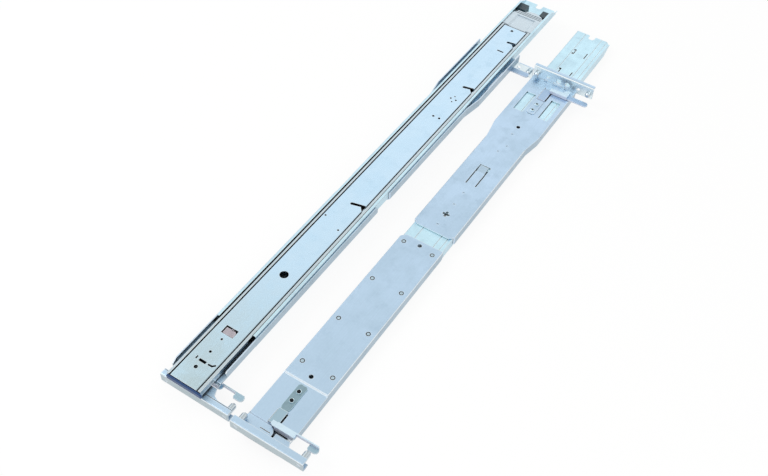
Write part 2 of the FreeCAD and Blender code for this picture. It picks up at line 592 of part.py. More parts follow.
# Middle channel with both ball tracks
middle = lipped_channel("middle_channel", "middle_half", "middle_low", "middle_face",
                        "middle_lip", "middle_front", "middle_rear")
groove(middle, "outer_track", OUTER_TRACK, "outer_ball_level", "middle_front",
       "middle_rear - middle_front")
groove(middle, "inner_track", INNER_TRACK, "inner_ball_level", "middle_front",
       "middle_rear - middle_front")


def cage(label, track, level, bottom, web, start, long):
    """Ball cage: a bent strip with a row of ball holes through both legs."""
    body = new_body(label)
    section = new_sketch(body, "section", "XZ_Plane", "-(%s)" % start)
    far = "(%s) + cage_sheet / 2" % track
    near = "(%s) - cage_sheet / 2" % track
    top = "(%s) + cage_web" % web
    outline(section, [
        ("-(%s)" % far, bottom), ("-(%s)" % far, top), (far, top), (far, bottom),
        (near, bottom), (near, web), ("-(%s)" % near, web), ("-(%s)" % near, bottom)])
    pad(body, "strip", section, long, reverse=True)
    hole = new_sketch(body, "ball_hole", "YZ_Plane")
    ring(hole, "%s + ball_margin" % start, level, GROOVE)
    holes = pocket(body, "ball_holes", hole, "3 * middle_half", both=True)
    row = body.newObject("PartDesign::LinearPattern", body.Name + "_row")
    row.Originals = [holes]
    row.Direction = (next(f for f in body.Origin.OriginFeatures if f.Role == "Y_Axis"), [""])
    row.Length = size("%s - 2 * ball_margin" % long)
    row.setExpression("Length", bind("%s - 2 * ball_margin" % long))
    row.Occurrences = int(size("ball_count"))
    row.setExpression("Occurrences", bind("ball_count"))
    body.Tip = row
    doc.recompute()
    return body


def balls(label, track, level, start, long):
    """Balls of one cage: the same sphere at each hole of both legs."""
    pieces = []
    pitch = "(%s - 2 * ball_margin) / (ball_count - 1)" % long
    for side in ("", "-"):
        for k in range(int(size("ball_count"))):
            ball = doc.addObject("Part::Sphere", "%s_%d" % (label, len(pieces) + 1))
            ball.setExpression("Radius", bind("ball_radius"))
            spot = (side + "(%s)" % track, "%s + ball_margin + %d * %s" % (start, k, pitch), level)
            for letter, formula in zip("xyz", spot):
                ball.setExpression("Placement.Base." + letter, bind(formula))
            ball.Visibility = False
            pieces.append(ball)
    gathered(label, pieces)


# Ball cages and balls
cage("outer_ball_cage", OUTER_TRACK, "outer_ball_level", "sheet + 2 * rest_gap",
     "middle_face + rest_gap", "outer_cage_front", "outer_cage_long")
balls("outer_balls", OUTER_TRACK, "outer_ball_level", "outer_cage_front", "outer_cage_long")
cage("inner_ball_cage", INNER_TRACK, "inner_ball_level", "middle_low + sheet + rest_gap",
     "inner_top + rest_gap", "inner_cage_front", "inner_cage_long")
balls("inner_balls", INNER_TRACK, "inner_ball_level", "inner_cage_front", "inner_cage_long")

# Inner rail: U section with J slots for the server's studs
inner = new_body("inner_rail")
inner_section = new_sketch(inner, "section", "XZ_Plane", "-inner_front")
core = "inner_half - sheet"
outline(inner_section, [
    ("-inner_half", "inner_low"), ("inner_half", "inner_low"), ("inner_half", "inner_top"),
    (core, "inner_top"), (core, "inner_low + sheet"), ("-(%s)" % core, "inner_low + sheet"),
    ("-(%s)" % core, "inner_top"), ("-inner_half", "inner_top")])
pad(inner, "rail", inner_section, "inner_rear - inner_front", reverse=True)
fillet(inner, "bends", 1, both_sides([("inner_half", "inner_low")]), "sheet + 0.2")
fillet(inner, "inside_bends", 1, both_sides([(core, "inner_low + sheet")]), "0.5")
groove(inner, "track", INNER_TRACK, "inner_ball_level", "inner_front",
       "inner_rear - inner_front")
slots = new_sketch(inner, "slot_plan", "XY_Plane", "inner_low")
for start, end, mouth in (("0.5", "300.6", "305"), ("3.4", "559.6", "563"),
                          ("6", "677.6", "679.5")):
    outline(slots, [
        ("inner_half + 1", mouth + " + slot_half"), (start, end + " + slot_half"),
        (start + " - 1.4", end + " + 1"), (start + " - 1.4", end + " - 1"),
        (start, end + " - slot_half"), ("12.6", mouth + " - slot_half - 1"),
        ("inner_half + 1", mouth + " - slot_half - 8")])
pocket(inner, "slots", slots, "slot_depth", reverse=True)
inner_holes = new_sketch(inner, "hole_plan", "XY_Plane", "inner_low")
for across, along, radius in (
        ("0", "169.2", "5.2"), ("-1.2", "44.4", "1.6"), ("-1.6", "21.8", "2.2"),
        ("-1.3", "63.1", "1.4"), ("-0.1", "487.6", "1.6"), ("8.5", "487.9", "1.6"),
        ("-14", "268", "1.2"), ("11.5", "257", "1.2"), ("-1.4", "703.4", "2.2"),
        ("0.7", "530.6", "1.3"), ("8.4", "530.4", "1.3"), ("3.8", "536.1", "1"),
        ("5.2", "525", "1")):
    ring(inner_holes, across, along, radius)
outline(inner_holes, box_points("-8.2", "7.2", "70", "80.6"))
outline(inner_holes, box_points("2.2", "11.6", "653.2", "655.4"))
outline(inner_holes, box_points("-9.2", "-7.6", "29.6", "33.6"))
outline(inner_holes, box_points("-4.6", "4.4", "29.2", "32.4"))
outline(inner_holes, [("6.8", "29.8"), ("12.4", "30"), ("15.6", "33.4"), ("14.4", "35"),
                      ("11.4", "32.2"), ("6.8", "31.8")])
pocket(inner, "holes", inner_holes, "sheet + 0.4", reverse=True)

# Server lock lever: an arm under the inner rail's face and a tab that fills its window
lever = new_body("server_lock_lever")
seat = "inner_low + sheet"
lever_tab = new_sketch(lever, "tab_plan", "XY_Plane", "inner_low + rest_gap")
outline(lever_tab, [("-6.6", "70.6"), ("6.6", "70.6"), ("6.6", "76.6"), ("4.4", "78.6"),
                    ("1", "77.4"), ("-2.2", "78.6"), ("-6.6", "78.6")])
pad(lever, "tab", lever_tab, "0.9")
lever_path = new_sketch(lever, "path", "YZ_Plane")
outline(lever_path, [
    ("75", "inner_low + rest_gap"), ("76.4", "inner_low + rest_gap"), ("79", seat + " + 0.3"),
    ("132", seat + " + 0.3"), ("132", seat + " + 1.2"), ("78.2", seat + " + 1.2"),
    ("75.6", "inner_low + rest_gap + 0.9"), ("75", "inner_low + rest_gap + 0.9")])
pad(lever, "arm", lever_path, "3", both=True)

# Front bumper: plastic end piece plugged between the inner rail's walls
bumper = new_body("front_bumper")
face_form = new_sketch(bumper, "face_form", "XZ_Plane", "-inner_front + rest_gap")
outline(face_form, [("-20", "1.4"), ("20", "1.4"), ("24.4", "2.4"), ("24.4", "6.6"),
                    ("20", "6.2"), ("-20", "6.2")])
pad(bumper, "face", face_form, "2.4")
plug = new_sketch(bumper, "plug_form", "XZ_Plane", "-inner_front + rest_gap")
outline(plug, box_points("rest_gap - (%s)" % core, "%s - rest_gap" % core,
                         seat + " + rest_gap", "inner_top"))
pad(bumper, "plug", plug, "12.3", reverse=True)

# Rear stop: plastic block held in the outer channel behind the middle channel
stop = new_body("rear_stop")
stop_front = "middle_rear + stop_gap"
edge = "outer_half - sheet - rest_gap"
ceiling = "outer_face - sheet - 0.1"
stop_plan = new_sketch(stop, "plan", "XY_Plane", "sheet + rest_gap")
outline(stop_plan, [
    ("-(%s)" % edge, stop_front), (edge, stop_front), (edge, stop_front + " + 34"),
    ("18", stop_front + " + 41"), ("8", stop_front + " + 45"), ("-2", stop_front + " + 44"),
    ("-9", stop_front + " + 38"), ("-17", stop_front + " + 38"),
    ("-(%s)" % edge, stop_front + " + 27")])
pad(stop, "block", stop_plan, ceiling + " - (sheet + rest_gap)")
dish = new_sketch(stop, "dish_plan", "XZ_Plane", "-(%s) + 1" % stop_front)
outline(dish, [("-15", "sheet"), ("15", "sheet"), ("12", "3.6"), ("-12", "3.6")])
pocket(stop, "dish", dish, "30")
ribs = new_sketch(stop, "rib_plan", "XY_Plane", "sheet + rest_gap")
for k in range(3):
    outline(ribs, box_points("-20", "20", stop_front + " + %g" % (32 + 3 * k),
                             stop_front + " + %g" % (33.2 + 3 * k)))
pocket(stop, "ribs", ribs, "1", reverse=True)

# Channel catches: two dark moulded blocks seated in the corners behind the rear stop
catches = []
for number, corner in enumerate(("-1", "1"), start=1):
    block = doc.addObject("Part::Box", "channel_catch_%d" % number)
    for name, formula in (("Length", "13"), ("Width", "14"),
                          ("Height", ceiling + " - 5")):
        block.setExpression(name, bind(formula))
    block.setExpression("Placement.Base.x", bind(
        corner + " * (outer_half - sheet - rest_gap - 6.5) - 6.5"))
    block.setExpression("Placement.Base.y", bind(stop_front + " + 47"))
    block.setExpression("Placement.Base.z", bind("5"))
    block.Visibility = False
    catches.append(block)
gathered("channel_catches", catches)

# Seats of both rails on the floor, about the centre of their common box
TURN = FreeCAD.Rotation(V(0, 0, 1), size("right_turn"))
TILT = FreeCAD.Rotation(V(1, 0, 0), size("left_tilt"))
right_seat = FreeCAD.Placement(
    V(size("right_across - centre_across"), size("right_forward - centre_along"), 0), TURN)
left_seat = FreeCAD.Placement(
    V(size("-centre_across"), size("-centre_along"), size("left_lift")), TILT)

# The right rail's moving members rest a little further in than the left's
INSET = {"right_" + label for label in (
    "middle_channel", "outer_ball_cage", "outer_balls", "inner_rail", "inner_ball_cage",
    "inner_balls", "front_bumper", "server_lock_lever", "rear_stop", "channel_catches")}
inset = FreeCAD.Placement(V(0, size("rest_inset"), 0), FreeCAD.Rotation())

NODES = [o for o in doc.Objects if o.Label.startswith("right_")
         and o.TypeId in ("PartDesign::Body", "Part::Compound")]
for node in NODES:
    node.Placement = right_seat.multiply(inset) if node.Label in INSET else right_seat
for node in list(NODES):
    twin = doc.addObject("Part::Mirroring", node.Label.replace("right_", "left_"))
    twin.Label = node.Label.replace("right_", "left_")
    twin.Source = node
    twin.Normal = V(0, 0, 1)
    twin.Placement = left_seat.multiply(node.Placement.inverse())
    NODES.append(twin)
doc.recompute()

for item in doc.Objects:
    if "Invalid" in item.State or "Error" in item.State:
        raise RuntimeError("failed object: " + item.Name)
for node in NODES:
    if node.Shape.isNull() or not node.Shape.isValid():
        raise RuntimeError("bad shape: " + node.Label)

os.makedirs("parts", exist_ok=True)
for node in NODES:
    node.Shape.exportStep(os.path.join("parts", node.Label + ".step"))
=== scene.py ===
import json
import math

import bpy
import numpy as np
from mathutils import Matrix, Vector

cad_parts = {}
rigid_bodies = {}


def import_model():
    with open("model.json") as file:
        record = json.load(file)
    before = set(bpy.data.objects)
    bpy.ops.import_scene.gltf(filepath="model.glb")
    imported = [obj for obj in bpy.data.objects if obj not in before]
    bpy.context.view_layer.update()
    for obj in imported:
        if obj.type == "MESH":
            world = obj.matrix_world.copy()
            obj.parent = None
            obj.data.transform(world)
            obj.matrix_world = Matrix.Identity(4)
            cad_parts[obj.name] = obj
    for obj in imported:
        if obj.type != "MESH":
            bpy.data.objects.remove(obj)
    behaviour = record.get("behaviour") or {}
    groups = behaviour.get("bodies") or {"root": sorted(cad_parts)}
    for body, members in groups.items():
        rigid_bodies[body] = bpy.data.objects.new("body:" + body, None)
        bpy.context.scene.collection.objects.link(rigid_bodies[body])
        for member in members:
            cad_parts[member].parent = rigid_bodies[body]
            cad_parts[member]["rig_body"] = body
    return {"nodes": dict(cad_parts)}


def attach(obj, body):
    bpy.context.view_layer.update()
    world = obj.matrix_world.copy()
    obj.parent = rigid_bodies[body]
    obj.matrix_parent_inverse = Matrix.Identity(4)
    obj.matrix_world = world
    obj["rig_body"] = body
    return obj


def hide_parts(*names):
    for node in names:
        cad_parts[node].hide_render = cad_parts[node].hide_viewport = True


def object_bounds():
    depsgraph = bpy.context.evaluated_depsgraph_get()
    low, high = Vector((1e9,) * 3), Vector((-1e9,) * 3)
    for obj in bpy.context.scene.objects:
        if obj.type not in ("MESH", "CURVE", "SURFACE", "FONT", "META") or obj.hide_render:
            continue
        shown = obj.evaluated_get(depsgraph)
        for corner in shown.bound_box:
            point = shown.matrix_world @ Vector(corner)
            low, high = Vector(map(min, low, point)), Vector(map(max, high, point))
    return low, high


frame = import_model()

bl_info = {
    "name": "Sliding server rail pair",
    "version": (1, 0, 0),
    "blender": (4, 5, 0),
    "location": "View3D > Sidebar > Rails",
    "description": "Zinc, spring steel and plastic finishes of a pair of rack slides",
    "category": "Object",
}

CAD_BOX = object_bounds()
NODES = frame["nodes"]
SIDES = ("right_", "left_")
MM = 0.001
WHITE = (1.0, 1.0, 1.0)


# Settings

def colour(label, note, value):
    """A colour setting."""
    return bpy.props.FloatVectorProperty(
        name=label, description=note, default=value, size=3, subtype="COLOR", min=0, max=1)


def length(label, note, value):
    """A length setting in metres."""
    return bpy.props.FloatProperty(
        name=label, description=note, default=value, unit="LENGTH", subtype="DISTANCE", min=0)


def share(label, note, value):
    """A setting between nought and one."""
    return bpy.props.FloatProperty(
        name=label, description=note, default=value, subtype="FACTOR", min=0, max=1)


class RailFinish(bpy.types.PropertyGroup):
    """Colours and finishes of the rails."""

    zinc: colour("Bracket zinc", "Zinc plate on the folded brackets", (0.545, 0.715, 0.90))
    channel_zinc: colour("Channel zinc", "Zinc plate on the outer channel", (0.62, 0.875, 1.0))
    track_zinc: colour("Track zinc", "Zinc plate on the middle channel", (0.60, 0.69, 0.74))
    inner_zinc: colour("Inner rail zinc", "Zinc plate on the inner rail", (0.62, 0.81, 0.97))
    latch_zinc: colour("Front latch zinc", "Duller plate on the front latch hook",
                       (0.38, 0.54, 0.64))
    rear_latch: colour("Rear latch zinc", "Bluer plate on the rear latch hook",
                       (0.42, 0.57, 0.78))
    # painted highlight on the latches' raised cross pieces
    raised: colour("Raised zinc", "Rubbed plate on the latches' cross pieces", (0.68, 0.84, 0.96))
    # painted light: a paler, duller tone on the latch hooks' front walls
    hook_face_lit: colour("Hook face", "Plate on the latch hooks' front walls", (0.62, 0.66, 0.78))
    # painted shade on faces across the rail
    flange: colour("Flange zinc", "Greyer plate on faces across the rail", (0.46, 0.53, 0.55))
    # painted light on the rear bracket's faces across the rail
    rear_flange_lit: colour("Rear flange zinc", "Paler plate on the rear flange", (0.86, 0.95, 0.97))
    # painted shade on the long side walls
    wall: colour("Wall zinc", "Dull plate on the long side walls", (0.37, 0.46, 0.52))
    # painted shade on the inner rail's side walls and bends
    raceway_shade: colour("Raceway", "Greased walls and bends of the inner rail", (0.10, 0.13, 0.15))
    # painted highlight on bends and steps
    bend: colour("Bend zinc", "Polished plate on bends and steps", (0.92, 0.97, 1.0))
    # edge wear together with a painted highlight on the edges
    worn_highlight: colour("Worn zinc", "Bright metal on rubbed edges", (0.93, 0.95, 0.96))
    shade: colour("Zinc shade", "Darker cloud in the zinc plate", (0.42, 0.56, 0.68))
    inner_shade: colour("Inner rail shade", "Bluer cloud in the inner rail's plate",
                        (0.52, 0.78, 1.0))
    # painted shade towards the inner rail's front end
    inner_front_shade: colour("Inner rail front", "Handled plate at the inner rail's front",
                        (0.51, 0.63, 0.67))
    # painted shade in gaps, slits and rivet bores
    crevice_shade: colour("Crevice", "Grease and shadow in gaps and slits", (0.012, 0.016, 0.022))
    spring: colour("Spring steel", "Front leaf springs", (0.30, 0.43, 0.50))
    copper: colour("Copper cast", "Server lock lever", (0.50, 0.46, 0.51))
    bright: colour("Bright steel", "Turned pins", (0.62, 0.70, 0.76))
    ball: colour("Ball steel", "Polished balls", (0.80, 0.81, 0.82))
    cage: colour("Cage steel", "Strips that hold the balls", (0.50, 0.52, 0.54))
    rivet: colour("Rivet steel", "Rivet heads", (0.50, 0.64, 0.74))
    blue: colour("Blue plastic", "Front bumper", (0.010, 0.05, 0.16))
    pale: colour("Pale plastic", "Rear stop", (0.58, 0.68, 0.76))
    dark: colour("Dark plastic", "Channel catches", (0.035, 0.06, 0.075))
    channel_rough: share("Channel roughness", "Mean roughness of the channels", 0.34)
    inner_rough: share("Inner rail roughness", "Mean roughness of the inner rail", 0.36)
    bracket_rough: share("Bracket roughness", "Mean roughness of the brackets", 0.38)
    latch_rough: share("Latch roughness", "Mean roughness of the latch hooks", 0.42)


class RailRivets(bpy.types.PropertyGroup):
    """Sizes of the rivet heads that stand for the plain ones."""

    head: length("Head", "Radius of a latch rivet's head", 0.0030)
    shank: length("Shank", "Radius of a rivet's shank", 0.0018)
    rim: length("Rim", "Height of a latch rivet's head", 0.0012)
    front_bore: length("Front bore", "Mouth of the front latch rivets' bore", 0.0023)
    rear_bore: length("Rear bore", "Mouth of the rear latch rivets' bore", 0.0013)
    flush: length("Flush head", "Radius of a flush rivet's head", 0.0026)
    groove: length("Groove", "Inner radius of the groove round a flush head", 0.0019)


class RailStage(bpy.types.PropertyGroup):
    """Floor, surroundings and camera."""

    floor: colour("Floor", "Plain pale floor", (0.93, 0.93, 0.93))
    floor_size: length("Floor size", "Side of the floor", 9.0)
    horizon: colour("Horizon", "Surroundings near the horizon", (0.34, 0.35, 0.34))
    crown: colour("Crown", "Surroundings overhead", (0.72, 0.72, 0.68))
    lens: length("Lens", "Focal length in metres", 0.0462976)


# Tools for objects and nodes

MIX_COLOURS = (6, 7)        # colour inputs of a Mix node
MIX_RESULT = 2              # its colour output


def put(scene, name, data):
    """A new object in the scene."""
    piece = bpy.data.objects.new(name, data)
    scene.collection.objects.link(piece)
    return piece


def empty_material(name):
    """A material whose node tree is empty, and that tree."""
    material = bpy.data.materials.new(name)
    material.use_nodes = True
    material.node_tree.nodes.clear()
    return material, material.node_tree


def is_socket(value):
    """Whether a value is another node's output."""
    return isinstance(value, bpy.types.NodeSocket)


def feed(tree, value, socket):
    """Link another node's output to an input, or set the input's plain value."""
    if is_socket(value):
        tree.links.new(value, socket)
    else:
        socket.default_value = value


def add(tree, kind, **values):
    """A node whose fields take plain values, and whose inputs take values or outputs."""
    node = tree.nodes.new(kind)
    for key, value in values.items():
        label = key.replace("_", " ")
        if label in node.inputs:
            feed(tree, value, node.inputs[label])
        else:
            setattr(node, key, value)
    return node


def feed_in_order(tree, node, values):
    """Give a node's first inputs their values, and return the node."""
    for socket, value in zip(node.inputs, values):
        feed(tree, value, socket)
    return node


def calculate(tree, operation, *values, clamp=False):
    """The result of a Math node on outputs or plain numbers."""
    node = add(tree, "ShaderNodeMath", operation=operation, use_clamp=clamp)
    return feed_in_order(tree, node, values).outputs[0]


def portion(tree, value, weight):
    """A value times its weight."""
    return calculate(tree, "MULTIPLY", value, weight)


def weighted(tree, start, terms):
    """A plain number plus each value times its weight."""
    total = start
    for value, weight in terms:
        total = calculate(tree, "ADD", portion(tree, value, weight), total)
    return total


def ramp(tree, value, low, high, start=0.0, end=1.0):
    """A clamped straight-line map of a value, from low and high to start and end."""
    node = add(tree, "ShaderNodeMapRange", clamp=True)
    return feed_in_order(tree, node, (value, low, high, start, end)).outputs[0]


def combine(tree, operation, first, second):
    """The outputs of a Vector Math node on two vectors."""
    node = add(tree, "ShaderNodeVectorMath", operation=operation)
    return feed_in_order(tree, node, (first, second)).outputs


def coordinates(tree, kind):
    """A texture coordinate."""
    return tree.nodes.new("ShaderNodeTexCoord").outputs[kind]


def split(tree, vector):
    """The X, Y and Z outputs of a vector."""
    return add(tree, "ShaderNodeSeparateXYZ", Vector=vector).outputs


def noise(tree, vector, scale, **values):
    """The value of a noise texture."""
    return add(tree, "ShaderNodeTexNoise", Vector=vector, Scale=scale, **values).outputs["Fac"]


def mix_colour(tree, weight, first, second):
    """Mix two colours by a value."""
    node = add(tree, "ShaderNodeMix", data_type="RGBA", Factor=weight)
    for index, tone in zip(MIX_COLOURS, (first, second)):
        feed(tree, tone if is_socket(tone) else (*tone, 1.0), node.inputs[index])
    return node.outputs[MIX_RESULT]


def mix_shaders(tree, weight, first, second):
    """Mix two shaders by a value."""
    return feed_in_order(tree, tree.nodes.new("ShaderNodeMixShader"),
                         (weight, first.outputs[0], second.outputs[0])).outputs[0]


def scaled(tone, gain, lift=0.0):
    """A colour times a gain plus a lift, up to white."""
    return tuple(min(1.0, part * gain + lift) for part in tone)


# Shared effects: each band gives the values at which a mask starts and is full

GRAIN_STRETCH = (1.0, 0.035, 1.0)       # rolled lines run along the rail
SCRATCH_STRETCH = (1.0, 0.06, 1.0)
SCRATCH_TURN = 0.35                     # radians from the rail's length
SCRATCH_FINENESS = 9.0                  # times the scale of the smudges
SCRATCH_BAND = (0.70, 0.74)
SMUDGE_BAND = (0.52, 0.68)
WEAR_RADIUS = 1.1 * MM
WEAR_SAMPLES = 4
LEANING_BAND = (0.90, 0.76)             # upright part of the normal of a face that leans
STANDING_BAND = (0.35, 0.20)            # and of one that stands
SQUARE_BAND = (0.80, 0.95)              # sideways part on a wall, lengthwise on a flange
GAP_BAND = (0.62, 0.28)                 # share of open sky from open sheet to a gap
GAP_SAMPLES = 8


def new_group(name, inputs, outputs):
    """A shader node group of number sockets: inputs with their defaults, and outputs."""
    tree = bpy.data.node_groups.new(name, "ShaderNodeTree")
    for label, value in inputs.items():
        socket = tree.interface.new_socket(label, in_out="INPUT", socket_type="NodeSocketFloat")
        socket.default_value = value
    for label in outputs:
        tree.interface.new_socket(label, in_out="OUTPUT", socket_type="NodeSocketFloat")
    return tree, tree.nodes.new("NodeGroupInput").outputs, tree.nodes.new("NodeGroupOutput")


def build_rolled_grain():
    """Rolled sheet: long fine lines, soft clouds and small plating crystals."""
    tree, given, sink = new_group(
        "RolledGrain", {"Line Scale": 900.0, "Cloud Scale": 26.0, "Crystal Scale": 420.0},
        ("Lines", "Clouds", "Crystals"))
    place = coordinates(tree, "Object")
    along = combine(tree, "MULTIPLY", place, GRAIN_STRETCH)["Vector"]
    lines = noise(tree, along, given["Line Scale"], Detail=3.0, Roughness=0.6)
    clouds = noise(tree, place, given["Cloud Scale"], Detail=5.0, Roughness=0.62, Distortion=0.4)
    crystals = add(tree, "ShaderNodeTexVoronoi", Vector=place, Scale=given["Crystal Scale"])
    tint = add(tree, "ShaderNodeSeparateColor", Color=crystals.outputs["Color"])
    feed_in_order(tree, sink, (lines, clouds, tint.outputs[0]))
    return tree


def build_worn_edge_highlight():
    """Edge wear and a painted highlight on edges: one where the rounded normal turns away from the
    face's own.
    """
    tree, given, sink = new_group("WornEdgeHighlight", {"Gain": 6.0}, ("Edge",))
    rounded = add(tree, "ShaderNodeBevel", samples=WEAR_SAMPLES, Radius=WEAR_RADIUS).outputs[0]
    facing = tree.nodes.new("ShaderNodeNewGeometry").outputs["Normal"]
    turn = calculate(tree, "SUBTRACT", 1.0,
                     combine(tree, "DOT_PRODUCT", rounded, facing)["Value"])
    edge = calculate(tree, "MULTIPLY", turn, given["Gain"], clamp=True)
    feed_in_order(tree, sink, (edge,))
    return tree


def build_handling_marks():
    """Handling marks: sparse thin scratches across broad smudges."""
    tree, given, sink = new_group("HandlingMarks", {"Scale": 60.0}, ("Scratches", "Smudge"))
    place = coordinates(tree, "Object")
    turned = add(tree, "ShaderNodeMapping", Vector=place, Rotation=(0.0, 0.0, SCRATCH_TURN),
                 Scale=SCRATCH_STRETCH).outputs[0]
    thin = noise(tree, turned, portion(tree, given["Scale"], SCRATCH_FINENESS),
                 Detail=2.0, Roughness=0.4, Distortion=0.8)
    broad = noise(tree, place, given["Scale"], Detail=4.0, Roughness=0.7)
    feed_in_order(tree, sink, (ramp(tree, thin, *SCRATCH_BAND), ramp(tree, broad, *SMUDGE_BAND)))
    return tree


def build_sheet_faces():
    """Sheet faces: masks for bends and steps, long walls, faces across, and narrow gaps."""
    tree, given, sink = new_group(
        "SheetFaces", {"Reach": 5 * MM}, ("Bends", "Walls", "Flanges", "Gaps"))
    normal = split(tree, coordinates(tree, "Normal"))
    across, along, upright = (calculate(tree, "ABSOLUTE", normal[axis]) for axis in "XYZ")
    bends = calculate(tree, "SUBTRACT", ramp(tree, upright, *LEANING_BAND),
                      ramp(tree, upright, *STANDING_BAND), clamp=True)
    cover = add(tree, "ShaderNodeAmbientOcclusion", samples=GAP_SAMPLES, Distance=given["Reach"])
    feed_in_order(tree, sink, (bends, ramp(tree, across, *SQUARE_BAND),
                               ramp(tree, along, *SQUARE_BAND),
                               ramp(tree, cover.outputs["AO"], *GAP_BAND)))
    return tree


GROUP_BUILDERS = {"RolledGrain": build_rolled_grain, "WornEdgeHighlight": build_worn_edge_highlight,
                  "HandlingMarks": build_handling_marks, "SheetFaces": build_sheet_faces}
GROUPS = {}


def effect(tree, name, **values):
    """The outputs of a shared effect, placed in a material with its own values."""
    if name not in GROUPS:
        GROUPS[name] = GROUP_BUILDERS[name]()
    node = add(tree, "ShaderNodeGroup", node_tree=GROUPS[name])
    for key, value in values.items():
        feed(tree, value, node.inputs[key.replace("_", " ")])
    return node.outputs


# Materials

ZINC_CLOUDS = (0.42, 0.66)              # bands of the grain that show
ZINC_LINES = (0.35, 0.75)
LINE_SHARE = 0.22                       # how much of a layer shows
SMUDGE_SHARE = 0.16
WORN_HIGHLIGHT_SHARE = 0.8
FLANGE_SHARE = 0.9
SPARKLE_GAIN = 1.15                     # brightness of the crystals against the plate
SMUDGE_GAIN = 0.8                       # and of the smudges against its shade
FRONT_SHADE_FADE = (CAD_BOX[0][1], CAD_BOX[0][1] + 190 * MM, 1.0, 0.0)    # along the rail
RAISED_FADE = 0.4 * MM
ZINC_ROUGH = {"start": -0.12, "Lines": 0.09, "Clouds": 0.25, "Smudge": 0.10}
ZINC_RELIEF = {"Lines": 0.6, "Scratches": -0.9}
ZINC_BUMP = (0.05, 0.12 * MM)           # strength and depth

STEEL_GRAIN = {"Line_Scale": 1400.0, "Cloud_Scale": 160.0}
STEEL_CLOUDS = (0.35, 0.70, 0.0, 0.35)  # band, and how much shows at its ends
STEEL_CLOUD_GAIN = 0.55
STEEL_EDGE = (1.5, 0.1)                 # brightness and lift of rubbed edges
STEEL_LINES = (0.30, 0.70)
STEEL_ROUGH = (-0.08, 0.10)             # added to the mean roughness at the lines' band ends
STEEL_BUMP = (0.12, 0.08 * MM)

PLASTIC_IOR = 1.49
PLASTIC_SMUDGE = 0.25
PLASTIC_HANDLED = (1.25, 0.02)          # brightness and lift of smudged spots
PLASTIC_REACH = 4 * MM
PLASTIC_SLITS = 0.9
PLASTIC_CLOUDS = (0.30, 0.70)
PLASTIC_ROUGH = (-0.06, 0.08)           # added to the mean roughness at the clouds' band ends
PLASTIC_BUMP = (0.15, 0.08 * MM)


def principled(name, **values):
    """A material with one Principled shader: the material, its tree and the shader's inputs."""
    material, tree = empty_material(name)
    shader = add(tree, "ShaderNodeBsdfPrincipled", **values)
    add(tree, "ShaderNodeOutputMaterial", Surface=shader.outputs[0])
    return material, tree, shader.inputs


def surface(tree, shader, tone, rough, height, bump):
    """Give a shader its colour, roughness and fine relief of a strength and depth."""
    strength, depth = bump
    relief = add(tree, "ShaderNodeBump", Strength=strength, Distance=depth, Height=height)
    feed(tree, tone, shader["Base Color"])
    feed(tree, rough, shader["Roughness"])
    feed(tree, relief.outputs[0], shader["Normal"])


